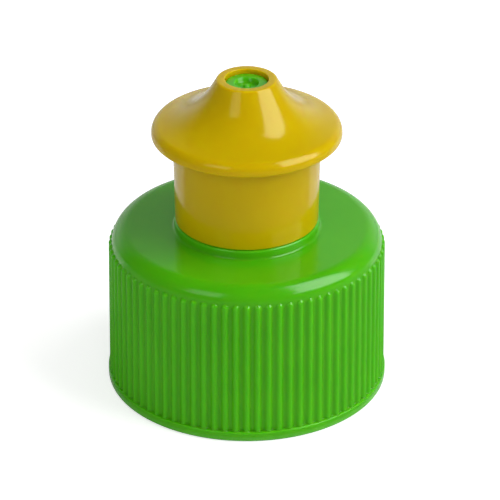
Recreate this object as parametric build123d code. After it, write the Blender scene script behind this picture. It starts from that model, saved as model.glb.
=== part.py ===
from build123d import *
import math
import os

# Push-pull screw cap for a squeeze bottle with a 28 mm neck.
# Two mouldings: a ribbed screw base with its own spout, and a pull-up nozzle that slides on the spout.
# Millimetres. The origin is on the axis, in the plane of the open end. +Z runs up to the nozzle's tip.

# Neck thread inside the skirt: 28 mm neck, 6 threads to the inch, one start, right-handed
thread_root_radius = 14.1
thread_depth = 1.1
thread_pitch = 25.4 / 6
thread_turns = 1.5
thread_gap = 1.15
thread_crest_width = 0.9
thread_root_width = 2.1
thread_embed = 0.4
lead_in_relief = 0.2
lead_in_depth = 2.6
mouth_bevel = 0.4

# Skirt, band and ribs
skirt_wall = 1.8
band_stand = 0.6
band_height = 1.3
band_bevel = 0.35
rib_count = 80
rib_width = 0.8
rib_crest_width = 0.36
rib_stand = 0.42
rib_root_depth = 0.2
rib_end_angle = math.radians(45)
rib_shoulder_gap = 0.02

# Shoulder, deck, and the collar that the nozzle's foot stands on
deck_height = 19.7
deck_thickness = 1.6
shoulder_round = 2.0
collar_ledge = 0.12
collar_height = 1.14
collar_top_bevel = 0.2
collar_foot_bevel = 0.25

# Plug ring under the deck, which seals in the neck's bore
plug_radius = 10.75
plug_wall = 1.0
plug_depth = 4.0
plug_bevel = 0.35

# Spout: a tube with a bead that stops the nozzle
spout_radius = 6.6
spout_wall = 1.4
spout_lip = 2.8
spout_bevel = 0.4
bead_stand = 0.35
bead_height = 1.2

# Pin on a spoked bridge in the spout's mouth
bridge_thickness = 1.4
spoke_count = 3
spoke_width = 1.5
hub_step = 0.4
pin_step = 0.32
pin_tip_length = 2.83
pin_recess = 0.5
pin_wall = 1.2
pin_floor = 1.28
pin_bevel = 0.2
dimple_radius = 1.37
dimple_depth = 0.55
dimple_draft = 0.15
gate_radius = 0.35
gate_height = 0.3

# Travel of the nozzle and its clearances
travel = 5.0
stop_clearance = 0.1
slide_clearance = 0.05
pin_clearance = 0.04
foot_clearance = 0.05

# Nozzle: sleeve with an inward foot bead, brim, cone, the steeper neck above it, and the orifice
foot_bead_height = 1.0
sleeve_wall = 1.38
sleeve_flare = 0.18
brim_rise = 0.56
brim_reach = 2.49
brim_edge = 1.0
brim_lower_bevel = 0.3
brim_slope_drop = 0.45
brim_slope_reach = 1.15
cone_slope = 0.54
cone_wall = 1.6
neck_rise = 2.86
neck_slope = 1.95
neck_wall = 1.2
hollow_round = 8.4
orifice_radius = 2.52
orifice_length = 2.3
tip_wall = 0.92
tip_bevel = 0.2

# Radii that follow, from the neck outwards and from the spout outwards
lead_in_radius = thread_root_radius + lead_in_relief
wall_radius = thread_root_radius + skirt_wall
band_radius = wall_radius + band_stand
spout_bore = spout_radius - spout_wall
bead_radius = spout_radius + bead_stand
foot_bead_radius = spout_radius + slide_clearance
nozzle_bore = bead_radius + slide_clearance
sleeve_radius = nozzle_bore + sleeve_wall
sleeve_top_radius = sleeve_radius + sleeve_flare
brim_radius = sleeve_top_radius + brim_reach
collar_radius = sleeve_radius + collar_ledge
pin_tip_radius = orifice_radius - pin_clearance
pin_radius = pin_tip_radius + pin_step
pin_core_radius = pin_tip_radius - pin_wall
hub_radius = pin_radius + hub_step
tip_radius = orifice_radius + tip_wall
neck_radius = tip_radius + neck_rise / neck_slope

# Heights that follow, from the mouth up and from the deck up
root_step = lead_in_depth + lead_in_relief
thread_start = root_step + thread_gap + thread_root_width / 2
roof_height = deck_height - deck_thickness
rib_top = deck_height - shoulder_round - rib_shoulder_gap
collar_top = deck_height + collar_height
foot_height = collar_top + foot_clearance
foot_bead_top = foot_height + foot_bead_height
bead_bottom = foot_bead_top + travel + stop_clearance
bead_top = bead_bottom + bead_height
spout_top = bead_top + spout_lip
bridge_bottom = spout_top - bridge_thickness
brim_height = spout_top + brim_rise
brim_top = brim_height + brim_edge
cone_top = brim_top + cone_slope * (brim_radius - neck_radius)
tip_height = cone_top + neck_rise
pin_top = tip_height - pin_recess
pin_shoulder = pin_top - pin_tip_length
dimple_floor = pin_top - dimple_depth
pin_core_top = dimple_floor - pin_floor


def turned(corners):
    """Turn a closed outline about Z. A corner is a radius, a height and, if eased, the kind and its size."""
    section = make_face(Polyline(*[corner[:2] for corner in corners], close=True))
    for radius, height, *edge in corners:
        if edge:
            kind, size = edge
            corner = section.vertices().sort_by_distance((radius, height, 0))[0]
            section = fillet([corner], size) if kind == "round" else chamfer([corner], size)
    return revolve(Plane.XZ * section, axis=Axis.Z)


def screw_base_shell():
    """The base without ribs, thread and bridge: skirt, shoulder, deck, collar, spout and seals."""
    plug_inner = plug_radius - plug_wall
    plug_bottom = roof_height - plug_depth
    return turned(
        [
            (lead_in_radius + mouth_bevel, 0),
            (band_radius, 0, "bevel", band_bevel),
            (band_radius, band_height),
            (wall_radius, band_height),
            (wall_radius, deck_height, "round", shoulder_round),
            (collar_radius, deck_height, "bevel", collar_foot_bevel),
            (collar_radius, collar_top, "bevel", collar_top_bevel),
            (spout_radius, collar_top),
            (spout_radius, bead_bottom),
            (bead_radius, bead_bottom + bead_stand / 2),
            (bead_radius, bead_top - bead_stand),
            (spout_radius, bead_top),
            (spout_radius, spout_top, "bevel", spout_bevel),
            (spout_bore, spout_top),
            (spout_bore, roof_height),
            (plug_inner, roof_height),
            (plug_inner, plug_bottom),
            (plug_radius, plug_bottom, "bevel", plug_bevel),
            (plug_radius, roof_height),
            (thread_root_radius, roof_height),
            (thread_root_radius, root_step),
            (lead_in_radius, lead_in_depth),
            (lead_in_radius, mouth_bevel),
        ]
    )


def bridge_and_pin():
    """The pin on its three-spoked bridge inside the spout's mouth, cored out from below."""
    plate = turned(
        [
            (pin_core_radius, bridge_bottom),
            (spout_bore + spout_wall / 2, bridge_bottom),
            (spout_bore + spout_wall / 2, spout_top),
            (pin_core_radius, spout_top),
        ]
    )
    ring = Cylinder(spout_bore, bridge_thickness) - Cylinder(hub_radius, bridge_thickness)
    windows = Pos(0, 0, bridge_bottom + bridge_thickness / 2) * ring
    for number in range(spoke_count):
        spoke = Pos(spout_bore / 2, 0, spout_top - bridge_thickness / 2) * Box(
            spout_bore, spoke_width, bridge_thickness
        )
        windows -= Rot(0, 0, number * 360 / spoke_count) * spoke
    pin = turned(
        [
            (0, pin_core_top),
            (pin_core_radius, pin_core_top),
            (pin_core_radius, spout_top),
            (pin_radius, spout_top),
            (pin_radius, pin_shoulder),
            (pin_tip_radius, pin_shoulder + pin_step),
            (pin_tip_radius, pin_top, "bevel", pin_bevel),
            (dimple_radius, pin_top),
            (dimple_radius - dimple_draft, dimple_floor),
            (gate_radius, dimple_floor),
            (gate_radius, dimple_floor + gate_height),
            (0, dimple_floor + gate_height),
        ]
    )
    return (plate - windows) + pin


def ribs():
    """Grip ribs that stand on the band, run straight up the wall and slope off just under the shoulder."""
    section = make_face(
        Polyline(
            (-rib_root_depth, -rib_width / 2),
            (0, -rib_width / 2),
            (rib_stand, -rib_crest_width / 2),
            (rib_stand, rib_crest_width / 2),
            (0, rib_width / 2),
            (-rib_root_depth, rib_width / 2),
            close=True,
        )
    )
    foot = band_height - rib_root_depth
    bar = extrude(Pos(wall_radius, 0, foot) * section, amount=rib_top - foot, dir=(0, 0, 1))
    slope = Plane(
        origin=(wall_radius, 0, rib_top),
        z_dir=(math.sin(rib_end_angle), 0, math.cos(rib_end_angle)),
    )
    rib = split(bar, bisect_by=slope, keep=Keep.BOTTOM)
    pitch = 360 / rib_count
    return [Rot(0, 0, 90 + number * pitch) * rib for number in range(rib_count)]


def neck_thread():
    """The ridge of the neck thread, a trapezoid carried along a helix inside the skirt."""
    path = Helix(
        pitch=thread_pitch,
        height=thread_pitch * thread_turns,
        radius=thread_root_radius,
        center=(0, 0, thread_start),
    )
    start = path @ 0
    section = Plane(origin=start, x_dir=(1, 0, 0), z_dir=path % 0) * make_face(
        Polyline(
            (thread_embed, -thread_root_width / 2),
            (0, -thread_root_width / 2),
            (-thread_depth, -thread_crest_width / 2),
            (-thread_depth, thread_crest_width / 2),
            (0, thread_root_width / 2),
            (thread_embed, thread_root_width / 2),
            close=True,
        )
    )
    return sweep(section, path=path, is_frenet=True)


def screw_base():
    """The whole lower moulding."""
    base = screw_base_shell().fuse(*ribs())
    return base + bridge_and_pin() + neck_thread()


def pull_nozzle():
    """The sliding nozzle: sleeve with an inward foot bead, brim, hollow cone and open tip."""
    # The inside follows the outer cone and neck, set in by their walls. Each line is its height on the axis.
    cone_line = cone_top + cone_slope * neck_radius - cone_wall * math.hypot(1, cone_slope)
    neck_line = cone_top + neck_slope * neck_radius - neck_wall * math.hypot(1, neck_slope)
    inner_radius = (neck_line - cone_line) / (neck_slope - cone_slope)
    orifice_bottom = tip_height - orifice_length
    chamber_radius = (neck_line - orifice_bottom) / neck_slope
    return turned(
        [
            (foot_bead_radius, foot_height),
            (sleeve_radius, foot_height),
            (sleeve_top_radius, brim_height),
            (brim_radius, brim_height, "bevel", brim_lower_bevel),
            (brim_radius, brim_top - brim_slope_drop),
            (brim_radius - brim_slope_reach, brim_top + cone_slope * brim_slope_reach),
            (neck_radius, cone_top, "round", hollow_round),
            (tip_radius, tip_height, "bevel", tip_bevel),
            (orifice_radius, tip_height),
            (orifice_radius, orifice_bottom),
            (chamber_radius, orifice_bottom),
            (inner_radius, cone_line - cone_slope * inner_radius),
            (nozzle_bore, cone_line - cone_slope * nozzle_bore),
            (nozzle_bore, foot_bead_top + bead_stand / 2),
            (foot_bead_radius, foot_bead_top),
        ]
    )


os.makedirs("parts", exist_ok=True)
export_step(screw_base(), "parts/screw_base.step")
export_step(pull_nozzle(), "parts/pull_nozzle.step")
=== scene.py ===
import math

import bpy
import numpy as np
from mathutils import Matrix, Vector


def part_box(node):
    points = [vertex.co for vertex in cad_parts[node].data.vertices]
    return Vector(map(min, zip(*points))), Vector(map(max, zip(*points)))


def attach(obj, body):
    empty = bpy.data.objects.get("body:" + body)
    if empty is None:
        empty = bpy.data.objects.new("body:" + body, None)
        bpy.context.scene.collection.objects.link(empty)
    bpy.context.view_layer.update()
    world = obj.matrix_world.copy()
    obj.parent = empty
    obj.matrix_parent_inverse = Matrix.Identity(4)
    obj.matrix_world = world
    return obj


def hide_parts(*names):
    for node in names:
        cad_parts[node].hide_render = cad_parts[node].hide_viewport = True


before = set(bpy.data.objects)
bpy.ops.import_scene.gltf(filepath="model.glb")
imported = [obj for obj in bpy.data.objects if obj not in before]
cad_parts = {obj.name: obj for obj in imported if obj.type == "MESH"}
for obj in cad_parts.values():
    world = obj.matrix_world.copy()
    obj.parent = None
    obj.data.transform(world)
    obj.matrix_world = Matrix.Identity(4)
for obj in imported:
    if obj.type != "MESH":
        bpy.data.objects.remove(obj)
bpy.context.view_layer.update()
mm = 0.001

# Screw base.
# One injection moulding of green polypropylene: a ribbed skirt that screws on the bottle's neck, a deck with
# a low collar, and inside it the thread, the plug ring and the spout, whose mouth carries a pin on three
# spokes. Every ring of it is turned about one axis, so its outline runs from the pin's top to the pin's core.
base_low, base_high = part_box("screw_base")
band_radius = base_high.x / mm
pin_top = base_high.z / mm

ring_columns = 240
rib_count = 80
columns_per_rib = 12


def unit(vector):
    """A vector divided by its own length."""
    return vector / np.hypot(*vector)


def eased_corner(before, here, after, easing, slack=0.002):
    """Points that ease one corner of an outline.

    One number is the radius of an arc that touches both sides: it starts radius * tan(turn / 2) before the
    corner, and turns about its centre in even steps, whose chords stay within the slack of the arc. Two
    numbers are cuts before and after the corner, joined by the sheared quarter ellipse
    start + (corner - start) sin t + (end - corner) (1 - cos t).
    """
    back = unit(before - here)
    ahead = unit(after - here)
    turn = math.pi - math.acos(np.clip(back @ ahead, -1, 1))
    if isinstance(easing, tuple):
        start = here + easing[0] * back
        end = here + easing[1] * ahead
        t = np.linspace(0, math.pi / 2, 9)[:, None]
        return start + (here - start) * np.sin(t) + (end - here) * (1 - np.cos(t))
    start = here + easing * math.tan(turn / 2) * back
    centre = here + easing / math.cos(turn / 2) * unit(back + ahead)
    arm = start - centre
    side = -np.sign(back[0] * ahead[1] - back[1] * ahead[0])
    step = 2 * math.acos(1 - slack / easing)
    t = side * np.linspace(0, turn, max(2, math.ceil(turn / step)) + 1)[:, None]
    return centre + arm * np.cos(t) + np.array((-arm[1], arm[0])) * np.sin(t)


def outline(corners, closed=False, guard=0.12):
    """Points along a profile, from corners of (radius, height) and, where a corner is eased, its easing.

    Straight runs get a further point a guard's length from each end, which keeps the shading of the run flat.
    """
    places = np.array([corner[:2] for corner in corners], float)
    runs = []
    for number, (_, _, *easing) in enumerate(corners):
        here = places[number]
        before = places[number - 1]
        after = places[(number + 1) % len(places)]
        runs.append(eased_corner(before, here, after, easing[0]) if easing else here[None])
    points = np.concatenate(runs + [runs[0][:1]] * closed)
    length = np.hypot(*np.diff(points, axis=0).T)
    along = np.concatenate(([0], np.cumsum(length)))
    long = length > 3 * guard
    extra = np.concatenate((along[:-1][long] + guard, along[1:][long] - guard))
    along, first = np.unique(np.concatenate((along, extra)), return_index=True)
    marks = np.concatenate(([0], np.cumsum(length)))
    points = np.stack([np.interp(along, marks, points[:, axis]) for axis in (0, 1)], axis=-1)
    return points[:-1] if closed else points


def round_angles(columns):
    """Even angles once round the axis, from +X towards +Y."""
    return np.arange(columns) * (2 * math.pi / columns)


def turned(radius, height, angle):
    """Grid of points (radius cos angle, radius sin angle, height).

    Each value is given for the whole grid or broadcast to it.
    """
    radius, height, angle = np.broadcast_arrays(radius, height, angle)
    return np.stack((radius * np.cos(angle), radius * np.sin(angle), height), axis=-1)


def spun(profile, columns=ring_columns):
    """Grid of an outline turned about the axis: rows follow the outline, columns go round."""
    return turned(profile[:, :1], profile[:, 1:], round_angles(columns))


def quads(first, second):
    """Faces between rows of vertex numbers that lie side by side and close on themselves."""
    corners = (first, second, np.roll(second, -1, axis=-1), np.roll(first, -1, axis=-1))
    return np.stack(corners, axis=-1).reshape(-1, 4)


def fans(coarse, fine):
    """Triangles from a coarse ring of vertex numbers to a finer one that follows it along the outline.

    Half of the fine steps in each coarse step meet its start and half its end, and one triangle closes the
    middle.
    """
    share = len(fine) // len(coarse)
    start = np.repeat(coarse, share)
    end = np.repeat(np.roll(coarse, -1), share)
    apex = np.where(np.arange(len(fine)) % share < share / 2, start, end)
    sides = np.stack((apex, fine, np.roll(fine, -1)), axis=-1)
    middles = np.stack((coarse, fine[share // 2 :: share], np.roll(coarse, -1)), axis=-1)
    return np.concatenate((sides, middles))


def numbered(grids):
    """Vertex numbers of each grid, counted from 0 through all the grids in order."""
    sizes = [grid.shape[0] * grid.shape[1] for grid in grids]
    starts = np.cumsum([0] + sizes)
    return [
        start + np.arange(size).reshape(grid.shape[:2])
        for start, size, grid in zip(starts, sizes, grids)
    ]


def add_piece(name, points, faces, sharp_angle=math.radians(38)):
    """A mesh object of points in millimetres, smooth but for edges sharper than an angle."""
    mesh = bpy.data.meshes.new(name)
    mesh.from_pydata((points * mm).tolist(), [], faces)
    mesh.shade_smooth()
    mesh.set_sharp_from_angle(angle=sharp_angle)
    mesh.validate()
    piece = bpy.data.objects.new(name, mesh)
    bpy.context.scene.collection.objects.link(piece)
    return piece


# Outline of the pin, from the gate mark in its dimple to the hub on the bridge.
pin_tip_radius = 2.48
pin_radius = 2.8
pin_shoulder = pin_top - 2.83
dimple_floor = pin_top - 0.55
hub_radius = 3.2
spout_top = 31.0
pin_outline = outline(
    [
        (0.03, dimple_floor + 0.28),
        (0.3, dimple_floor + 0.27, 0.16),
        (0.42, dimple_floor, 0.15),
        (1.17, dimple_floor, 0.3),
        (1.4, pin_top, 0.13),
        (pin_tip_radius, pin_top, 0.22),
        (pin_tip_radius, pin_shoulder + 0.32),
        (pin_radius, pin_shoulder),
        (pin_radius, spout_top, 0.2),
        (hub_radius - 0.08, spout_top),
    ]
)

# Outline of the spout's outside, the collar that the nozzle's foot stands on, the deck and the shoulder.
spout_radius = 6.6
spout_bore = 5.2
spout_bead_bottom = 26.99
spout_bead_top = 28.19
spout_bead_stand = 0.35
collar_radius = 8.5
collar_top = 20.84
deck_height = 19.7
shoulder_round = 2.0
shoulder_centre = 13.87
skirt_top = 18.06
shoulder_end = math.asin((skirt_top - (deck_height - shoulder_round)) / shoulder_round)
shoulder_angle = np.linspace(math.pi / 2, shoulder_end, 15)
deck_outline = outline(
    [
        (spout_bore + 0.08, spout_top),
        (spout_radius, spout_top, 0.4),
        (spout_radius, spout_bead_top, 0.3),
        (spout_radius + spout_bead_stand, spout_bead_top - spout_bead_stand, 0.3),
        (spout_radius + spout_bead_stand, spout_bead_bottom + spout_bead_stand / 2, 0.15),
        (spout_radius, spout_bead_bottom),
        (spout_radius, collar_top, 0.15),
        (collar_radius, collar_top, 0.3),
        (collar_radius, deck_height, 0.3),
        (shoulder_centre - 0.2, deck_height),
    ]
)
shoulder_outline = np.stack(
    (
        shoulder_centre + shoulder_round * np.cos(shoulder_angle),
        deck_height - shoulder_round + shoulder_round * np.sin(shoulder_angle),
    ),
    axis=-1,
)
deck_outline = np.concatenate((deck_outline, shoulder_outline))

# Ribbed wall, from the shoulder down to the band's ledge.
band_height = 1.3
wall_top_radius = shoulder_centre + shoulder_round
wall_foot_radius = 16.0
rib_half_width = 0.45
rib_stand = 0.35
rib_end = 17.42
ledge_fillet = 0.12
ledge_radius = band_radius - 0.12


def skirt_wall(height):
    """Radius between the ribs: the shoulder's arc above its centre, a straight wall with draft below it."""
    above = np.clip(height - (deck_height - shoulder_round), 0, shoulder_round)
    arc = shoulder_centre + np.sqrt(shoulder_round**2 - above**2)
    below = (deck_height - shoulder_round - height) / (deck_height - shoulder_round - band_height)
    return arc + np.clip(below, 0, 1) * (wall_foot_radius - wall_top_radius)


def rib_height(height, angle):
    """Stand of the ribs: stand * (1 - s^2)^0.85, where s is the distance from the crest in half widths.

    Above its end's centre, a rib's distance is taken from that centre, which rounds its end like a fingertip.
    """
    pitch = 2 * math.pi / rib_count
    across = ((angle + pitch / 2) % pitch - pitch / 2) * band_radius
    beyond = np.clip(height - rib_end, 0, None)
    s = np.hypot(across, beyond) / rib_half_width
    return rib_stand * np.clip(1 - s**2, 0, 1) ** 0.85


rib_heights = np.concatenate(
    (
        np.linspace(skirt_top - 0.06, rib_end - 0.05, 13),
        np.array((17.0, 12.0, 7.0, 2.5, 1.8)),
    )
)[:, None]
rib_angles = round_angles(rib_count * columns_per_rib)
ribbed_wall = turned(skirt_wall(rib_heights) + rib_height(rib_heights, rib_angles), rib_heights, rib_angles)

fillet_angle = np.linspace(0, math.pi / 2, 6)[:, None]
groove_radius = skirt_wall(band_height) + rib_height(band_height, rib_angles)
ledge_reach = np.minimum(groove_radius + ledge_fillet * (1 - np.cos(fillet_angle)), ledge_radius)
ledge = turned(ledge_reach, band_height + ledge_fillet * (1 - np.sin(fillet_angle)), rib_angles)

# Outline of the band, the rim that the cap stands on, and the lead-in to the thread.
lead_in_radius = 14.3
lead_in_depth = 2.6
thread_root = 14.1
roof_height = 18.1
band_outline = outline(
    [
        (ledge_radius + 0.01, band_height - 0.005),
        (band_radius, band_height - 0.01, 0.1),
        (band_radius, 0, (0.45, 0.45)),
        (lead_in_radius + 0.4, 0, 0.15),
        (lead_in_radius, 0.4, 0.15),
        (lead_in_radius, lead_in_depth),
        (thread_root, lead_in_depth + 0.2),
        (thread_root, lead_in_depth + 0.3),
    ]
)

# Thread of the neck, 6 turns to the inch, one and a half turns, right-handed.
thread_pitch = 25.4 / 6
thread_start = 5.0
thread_turns = 1.5
thread_depth = 1.1
thread_crest_width = 0.9
thread_root_width = 2.1
thread_run_out = 0.06


def thread_stand(height, angle):
    """Stand of the thread inside the skirt.

    A point's turn is angle / full turn plus the whole number that brings the helix nearest to it. Across the
    thread the stand falls from the crest's half width to the root's, smoothed by 3 t^2 - 2 t^3, and along it
    the same curve fades the stand in and out over the run-out.
    """
    share = angle / (2 * math.pi)
    whole = np.round((height - thread_start) / thread_pitch - share)
    turn = share + whole
    off = np.abs(height - thread_start - turn * thread_pitch)
    flank = np.clip((thread_root_width / 2 - off) / ((thread_root_width - thread_crest_width) / 2), 0, 1)
    ends = np.clip(np.minimum(turn, thread_turns - turn) / thread_run_out + 0.5, 0, 1)
    return thread_depth * (3 * flank**2 - 2 * flank**3) * (3 * ends**2 - 2 * ends**3)


thread_heights = np.linspace(lead_in_depth + 0.45, 14.0, 50)[:, None]
thread_angles = round_angles(ring_columns)
thread_radius = thread_root - thread_stand(thread_heights, thread_angles)
threaded_wall = turned(thread_radius, thread_heights, thread_angles)

# Outline of the roof under the deck, the plug ring and the spout's bore.
plug_radius = 10.75
plug_wall = 1.0
plug_bottom = roof_height - 4.0
bridge_bottom = spout_top - 1.4
roof_outline = outline(
    [
        (thread_root, 14.2),
        (thread_root, roof_height, 0.4),
        (plug_radius, roof_height, 0.3),
        (plug_radius, plug_bottom, (0.8, 0.35)),
        (plug_radius - plug_wall, plug_bottom, 0.2),
        (plug_radius - plug_wall, roof_height, 0.3),
        (spout_bore, roof_height, 0.4),
        (spout_bore, bridge_bottom - 0.02),
    ]
)

# Outline of the hub's underside and the core that keeps the pin's wall even.
core_radius = 1.28
core_top = dimple_floor - 1.28
core_outline = outline(
    [
        (hub_radius - 0.1, bridge_bottom),
        (core_radius, bridge_bottom, 0.15),
        (core_radius - 0.1, core_top, 0.3),
        (0.03, core_top),
    ]
)

# Bridge of three spokes between the hub and the bore, with a window between each two.
spoke_count = 3
spoke_width = 1.5
spoke_columns = 7


def bridge_angles(radius):
    """Column angles at a radius, slid round so that the columns at a spoke's edges keep the spoke's width.

    Inside a spoke the angle is scaled by asin(half width / radius) over the spoke's columns, and between two
    spokes the rest is shared evenly.
    """
    half_pitch = math.pi / spoke_count
    step = 2 * math.pi / ring_columns
    even = round_angles(ring_columns)
    offset = (even + half_pitch) % (2 * half_pitch) - half_pitch
    edge = spoke_columns * step
    wanted = math.asin(spoke_width / 2 / radius)
    slid = np.interp(np.abs(offset), (0, edge, half_pitch), (0, wanted, half_pitch))
    return even - offset + np.sign(offset) * slid


def bridge_ring(radius, height):
    """One ring of points at a radius and height, on the bridge's slid columns."""
    return turned(radius, height, bridge_angles(radius))[None]


base_grids = [
    np.array([[(0, 0, dimple_floor + 0.28)]]),
    spun(pin_outline),
    np.concatenate((bridge_ring(hub_radius, spout_top), bridge_ring(spout_bore, spout_top))),
    spun(deck_outline),
    ribbed_wall,
    ledge,
    spun(band_outline),
    threaded_wall,
    spun(roof_outline),
    np.concatenate((bridge_ring(spout_bore, bridge_bottom), bridge_ring(hub_radius, bridge_bottom))),
    spun(core_outline),
    np.array([[(0, 0, core_top)]]),
]
base_points = np.concatenate([grid.reshape(-1, 3) for grid in base_grids])
tip, pin, over, deck, ribs, foot, band, thread, roof, under, core, end = numbered(base_grids)

# The bridge's faces stay where a spoke is. Elsewhere a window goes through, with walls on all four sides.
column = np.arange(ring_columns)
spoke_pitch = ring_columns // spoke_count
in_spoke = (column + spoke_columns) % spoke_pitch < 2 * spoke_columns
window_start = column[np.roll(in_spoke, 1) & ~in_spoke]
window_end = column[in_spoke & ~np.roll(in_spoke, 1)]
spoke_faces = np.concatenate((quads(over[0], over[1])[in_spoke], quads(under[0], under[1])[in_spoke]))
window_walls = np.concatenate(
    (
        quads(over[0], under[1])[~in_spoke],
        quads(under[0], over[1])[~in_spoke],
        np.stack((over[0], over[1], under[0], under[1]), axis=-1)[window_start],
        np.stack((under[1], under[0], over[1], over[0]), axis=-1)[window_end],
    )
)
rows = [quads(grid[:-1], grid[1:]) for grid in (pin, deck, ribs, foot, band, thread, roof, core)]
joints = [
    quads(pin[-1], over[0]),
    quads(over[1], deck[0]),
    quads(ribs[-1], foot[0]),
    quads(band[-1], thread[0]),
    quads(thread[-1], roof[0]),
    quads(roof[-1], under[0]),
    quads(under[1], core[0]),
]
corners = [
    fans(deck[-1], ribs[0]),
    fans(band[0], foot[-1])[:, ::-1],
    np.stack((np.broadcast_to(tip[0], ring_columns), pin[0], np.roll(pin[0], -1)), axis=-1),
    np.stack((np.broadcast_to(end[0], ring_columns), np.roll(core[-1], -1), core[-1]), axis=-1),
]
four_sided = np.concatenate(rows + joints + [spoke_faces, window_walls])
base_faces = four_sided.tolist() + np.concatenate(corners).tolist()
screw_base = add_piece("screw_base_moulding", base_points, base_faces)


def moulded_skin():
    """Node group for the skin of a polished moulding, used by both plastics.

    Tone is slow noise from the melt's flow, Roughness a base value and a share of finer noise, and Height a
    faint ripple of the surface, all on Object coordinates in metres.
    """
    group = bpy.data.node_groups.new("moulded_skin", "ShaderNodeTree")
    sockets = group.interface
    for name, value in (("Flow size", 0.006), ("Gloss", 0.15), ("Gloss spread", 0.05)):
        socket = sockets.new_socket(name=name, in_out="INPUT", socket_type="NodeSocketFloat")
        socket.default_value = value
    for name in ("Tone", "Roughness", "Height"):
        sockets.new_socket(name=name, in_out="OUTPUT", socket_type="NodeSocketFloat")
    nodes, links = group.nodes, group.links
    given = nodes.new("NodeGroupInput")
    result = nodes.new("NodeGroupOutput")
    place = nodes.new("ShaderNodeTexCoord")
    scale = nodes.new("ShaderNodeMath")
    scale.operation = "DIVIDE"
    scale.inputs[0].default_value = 1
    links.new(given.outputs["Flow size"], scale.inputs[1])
    flow = nodes.new("ShaderNodeTexNoise")
    flow.inputs["Detail"].default_value = 3
    flow.inputs["Roughness"].default_value = 0.45
    flow.inputs["Distortion"].default_value = 0.6
    links.new(place.outputs["Object"], flow.inputs["Vector"])
    links.new(scale.outputs[0], flow.inputs["Scale"])
    links.new(flow.outputs["Fac"], result.inputs["Tone"])
    fine = nodes.new("ShaderNodeTexNoise")
    fine.inputs["Scale"].default_value = 900
    fine.inputs["Detail"].default_value = 4
    links.new(place.outputs["Object"], fine.inputs["Vector"])
    gloss = nodes.new("ShaderNodeMath")
    gloss.operation = "MULTIPLY_ADD"
    links.new(fine.outputs["Fac"], gloss.inputs[0])
    links.new(given.outputs["Gloss spread"], gloss.inputs[1])
    links.new(given.outputs["Gloss"], gloss.inputs[2])
    links.new(gloss.outputs[0], result.inputs["Roughness"])
    ripple = nodes.new("ShaderNodeTexNoise")
    ripple.inputs["Scale"].default_value = 420
    ripple.inputs["Detail"].default_value = 1.5
    links.new(place.outputs["Object"], ripple.inputs["Vector"])
    links.new(ripple.outputs["Fac"], result.inputs["Height"])
    return group


skin = moulded_skin()


def moulded_plastic(name, deep, pale, glow, gloss, tint):
    """Glossy polypropylene: the flow's tone mixes a deep and a pale colour, with scatter below the skin."""
    material = bpy.data.materials.new(name)
    material.use_nodes = True
    nodes, links = material.node_tree.nodes, material.node_tree.links
    shader = nodes["Principled BSDF"]
    surface = nodes.new("ShaderNodeGroup")
    surface.node_tree = skin
    surface.inputs["Gloss"].default_value = gloss
    mix = nodes.new("ShaderNodeMix")
    mix.data_type = "RGBA"
    mix.inputs[6].default_value = (*deep, 1)
    mix.inputs[7].default_value = (*pale, 1)
    links.new(surface.outputs["Tone"], mix.inputs[0])
    links.new(mix.outputs[2], shader.inputs["Base Color"])
    links.new(surface.outputs["Roughness"], shader.inputs["Roughness"])
    bump = nodes.new("ShaderNodeBump")
    bump.inputs["Strength"].default_value = 0.12
    bump.inputs["Distance"].default_value = 0.00001
    links.new(surface.outputs["Height"], bump.inputs["Height"])
    links.new(bump.outputs["Normal"], shader.inputs["Normal"])
    shader.inputs["IOR"].default_value = 1.49
    shader.inputs["Specular Tint"].default_value = (*tint, 1)
    shader.inputs["Subsurface Weight"].default_value = 1.0
    shader.inputs["Subsurface Radius"].default_value = glow
    shader.inputs["Subsurface Scale"].default_value = 0.0008
    return material


green_plastic = moulded_plastic(
    "green_polypropylene",
    deep=(0.07, 0.415, 0.003),
    pale=(0.092, 0.475, 0.004),
    glow=(0.5, 1.0, 0.3),
    gloss=0.14,
    tint=(1, 1, 1),
)
screw_base.data.materials.append(green_plastic)
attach(screw_base, "root")
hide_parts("screw_base")

# Pull nozzle.
# One injection moulding of yellow polypropylene that slides on the spout: a sleeve with an inward bead at its
# foot, a brim to pull on, and a cone that sweeps up to the orifice, which the base's pin closes.
nozzle_low, nozzle_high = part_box("pull_nozzle")
foot_height = nozzle_low.z / mm
brim_radius = nozzle_high.x / mm
tip_height = nozzle_high.z / mm
foot_bead_radius = 6.65
nozzle_bore = 7.0
brim_height = 31.5
brim_top = 32.95
brim_round = 1.2
neck_radius = 6.0
neck_rise = 4.45
hollow_round = 8.5
orifice_radius = 2.52
orifice_length = 2.3
tip_radius = 3.44
chamber_radius = 3.27
inner_height = 34.36
inner_radius = 4.33
inner_slope = 0.54
nozzle_outline = outline(
    [
        (foot_bead_radius, foot_height, 0.1),
        (8.375, foot_height, 0.12),
        (8.57, brim_height, 0.2),
        (brim_radius, brim_height, (0.8, 0.32)),
        (brim_radius, brim_top, brim_round),
        (neck_radius, tip_height - neck_rise, hollow_round),
        (tip_radius, tip_height, 0.3),
        (orifice_radius, tip_height, 0.08),
        (orifice_radius, tip_height - orifice_length),
        (chamber_radius, tip_height - orifice_length, 0.3),
        (inner_radius, inner_height, 1.5),
        (nozzle_bore, inner_height - inner_slope * (nozzle_bore - inner_radius), 0.5),
        (nozzle_bore, foot_height + 1.175, 0.2),
        (foot_bead_radius, foot_height + 1.0, 0.1),
    ],
    closed=True,
)
nozzle_grid = spun(nozzle_outline, 288)
(nozzle_numbers,) = numbered([nozzle_grid])
nozzle_faces = quads(np.roll(nozzle_numbers, -1, axis=0), nozzle_numbers)
pull_nozzle = add_piece("pull_nozzle_moulding", nozzle_grid.reshape(-1, 3), nozzle_faces.tolist())

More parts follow.
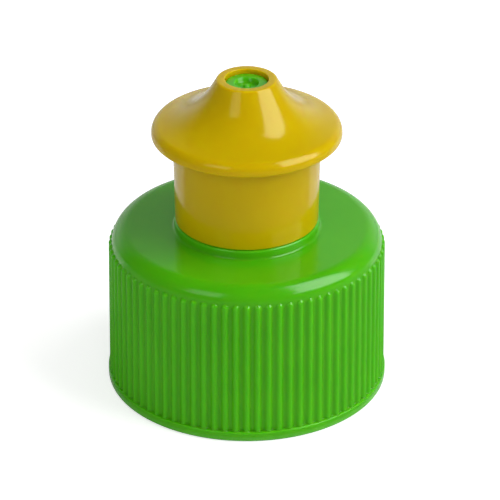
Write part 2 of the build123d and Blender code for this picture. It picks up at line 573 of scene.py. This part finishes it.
yellow_plastic = moulded_plastic(
    "yellow_polypropylene",
    deep=(0.55, 0.39, 0.001),
    pale=(0.6, 0.43, 0.001),
    glow=(1.0, 0.7, 0.1),
    gloss=0.11,
    tint=(1, 0.95, 0.6),
)
pull_nozzle.data.materials.append(yellow_plastic)
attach(pull_nozzle, "nozzle")
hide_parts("pull_nozzle")

# Floor.
# A wide sheet of plain white paper under the cap. It shows white to the camera and keeps the cap's shadow.
floor_half = 4.0
floor_mesh = bpy.data.meshes.new("floor")
floor_mesh.from_pydata(
    [
        (-floor_half, -floor_half, 0),
        (floor_half, -floor_half, 0),
        (floor_half, floor_half, 0),
        (-floor_half, floor_half, 0),
    ],
    [],
    [(0, 1, 2, 3)],
)
floor = bpy.data.objects.new("floor", floor_mesh)
bpy.context.scene.collection.objects.link(floor)
paper = bpy.data.materials.new("white_paper")
paper.use_nodes = True
paper_nodes, paper_links = paper.node_tree.nodes, paper.node_tree.links
paper_shader = paper_nodes["Principled BSDF"]
paper_shader.inputs["Base Color"].default_value = (0.8, 0.8, 0.8, 1)
paper_shader.inputs["Roughness"].default_value = 0.9
paper_shader.inputs["Specular IOR Level"].default_value = 0
paper_shader.inputs["Emission Color"].default_value = (1, 1, 1, 1)
paper_path = paper_nodes.new("ShaderNodeLightPath")
paper_lift = paper_nodes.new("ShaderNodeMath")
paper_lift.operation = "MULTIPLY"
paper_lift.inputs[1].default_value = 0.58
paper_links.new(paper_path.outputs["Is Camera Ray"], paper_lift.inputs[0])
paper_links.new(paper_lift.outputs[0], paper_shader.inputs["Emission Strength"])
floor_mesh.materials.append(paper)

# Studio light.
# A wide softbox stands to the right of the cap, a weaker one at the left front, and a pale backdrop runs up
# behind it, as round a small product on a light table. The rest of the room is dim.
middle = Vector((0, 0, 0.019))


def softbox(name, foot, head, width, radiance):
    """Rectangular lamp between the middles of its lower and upper edges, turned on that line to the cap."""
    foot, head = Vector(foot), Vector(head)
    upright = (head - foot).normalized()
    away = (foot + head) / 2 - middle
    away = (away - upright * away.dot(upright)).normalized()
    lamp = bpy.data.lights.new(name, "AREA")
    lamp.shape = "RECTANGLE"
    lamp.size = width
    lamp.size_y = (head - foot).length
    lamp.energy = radiance * math.pi * lamp.size * lamp.size_y
    light = bpy.data.objects.new(name, lamp)
    bpy.context.scene.collection.objects.link(light)
    turn = Matrix((upright.cross(away), upright, away)).transposed()
    light.matrix_world = Matrix.Translation((foot + head) / 2) @ turn.to_4x4()
    light.visible_camera = False
    return light


softbox("softbox_right", (0.353, -0.144, 0.161), (0.446, 0.12, 1.175), 0.38, 4.4)
softbox("softbox_left", (-0.391, -0.519, 0.295), (-0.391, -0.519, 0.79), 0.35, 1.4)

# A broad fill over the camera lifts the front. Gloss doesn't show it.
front_fill = softbox("softbox_front", (0, -1.17, 0.37), (0, -0.92, 0.8), 0.6, 2.3)
front_fill.visible_glossy = False

# A dark half ring of card lies on the floor round the cap's front. It is seen in reflections only, and keeps
# them deep.
card_reach = np.array((0.0168, 0.7))
card_angle = np.radians(np.linspace(-200, 20, 45))[:, None]
card_grid = turned(card_reach, 0.0005, card_angle)
(card_numbers,) = numbered([card_grid])
card_inner, card_outer = card_numbers.T
card_faces = np.stack((card_inner[:-1], card_outer[:-1], card_outer[1:], card_inner[1:]), axis=-1)
card_mesh = bpy.data.meshes.new("dark_card")
card_mesh.from_pydata(card_grid.reshape(-1, 3).tolist(), [], card_faces.tolist())
card = bpy.data.objects.new("dark_card", card_mesh)
bpy.context.scene.collection.objects.link(card)
card_felt = bpy.data.materials.new("dark_felt")
card_felt.use_nodes = True
card_shader = card_felt.node_tree.nodes["Principled BSDF"]
card_shader.inputs["Base Color"].default_value = (0.28, 0.28, 0.28, 1)
card_shader.inputs["Roughness"].default_value = 1.0
card_shader.inputs["Specular IOR Level"].default_value = 0
card_mesh.materials.append(card_felt)
card.visible_camera = False
card.visible_diffuse = False
card.visible_shadow = False
card.visible_transmission = False

world = bpy.data.worlds.new("studio")
bpy.context.scene.world = world
world.use_nodes = True
world_nodes, world_links = world.node_tree.nodes, world.node_tree.links
world_nodes.clear()
direction = world_nodes.new("ShaderNodeTexCoord")
split = world_nodes.new("ShaderNodeSeparateXYZ")
world_links.new(direction.outputs["Generated"], split.inputs[0])
rise = world_nodes.new("ShaderNodeMapRange")
rise.interpolation_type = "SMOOTHSTEP"
rise.inputs["From Min"].default_value = 0.1
rise.inputs["From Max"].default_value = 0.85
rise.inputs["To Min"].default_value = 1.0
rise.inputs["To Max"].default_value = 0.05
world_links.new(split.outputs["Z"], rise.inputs["Value"])
depth = world_nodes.new("ShaderNodeMapRange")
depth.interpolation_type = "SMOOTHSTEP"
depth.inputs["From Min"].default_value = 0.45
depth.inputs["From Max"].default_value = 0.85
depth.inputs["To Min"].default_value = 0.08
depth.inputs["To Max"].default_value = 1.0
world_links.new(split.outputs["Y"], depth.inputs["Value"])
seen = world_nodes.new("ShaderNodeMath")
seen.operation = "MULTIPLY"
world_links.new(rise.outputs[0], seen.inputs[0])
world_links.new(depth.outputs[0], seen.inputs[1])
path = world_nodes.new("ShaderNodeLightPath")
ambient = world_nodes.new("ShaderNodeBackground")
ambient.inputs["Color"].default_value = (1, 1, 1, 1)
ambient.inputs["Strength"].default_value = 0.37
mirrored = world_nodes.new("ShaderNodeBackground")
world_links.new(seen.outputs[0], mirrored.inputs["Strength"])
white = world_nodes.new("ShaderNodeBackground")
white.inputs["Color"].default_value = (1, 1, 1, 1)
white.inputs["Strength"].default_value = 1.0
glossy_mix = world_nodes.new("ShaderNodeMixShader")
world_links.new(path.outputs["Is Glossy Ray"], glossy_mix.inputs[0])
world_links.new(ambient.outputs[0], glossy_mix.inputs[1])
world_links.new(mirrored.outputs[0], glossy_mix.inputs[2])
camera_mix = world_nodes.new("ShaderNodeMixShader")
world_links.new(path.outputs["Is Camera Ray"], camera_mix.inputs[0])
world_links.new(glossy_mix.outputs[0], camera_mix.inputs[1])
world_links.new(white.outputs[0], camera_mix.inputs[2])
world_output = world_nodes.new("ShaderNodeOutputWorld")
world_links.new(camera_mix.outputs[0], world_output.inputs["Surface"])
bpy.context.scene.view_settings.view_transform = "Standard"

# Camera.
# A long lens looks down on the cap from the front, at the height and distance found from the photograph.
camera_elevation = math.radians(28.71)
camera_distance = 0.40631
aim_height = 0.016354
camera_data = bpy.data.cameras.new("camera")
camera_data.sensor_width = 36
camera_data.lens = 248.93
camera_data.shift_x = 0.0064
camera = bpy.data.objects.new("camera", camera_data)
bpy.context.scene.collection.objects.link(camera)
camera_back = Vector((0, -math.cos(camera_elevation), math.sin(camera_elevation)))
camera.location = Vector((0, 0, aim_height)) + camera_back * camera_distance
camera.rotation_euler = (-camera_back).to_track_quat("-Z", "Y").to_euler()
bpy.context.scene.camera = camera
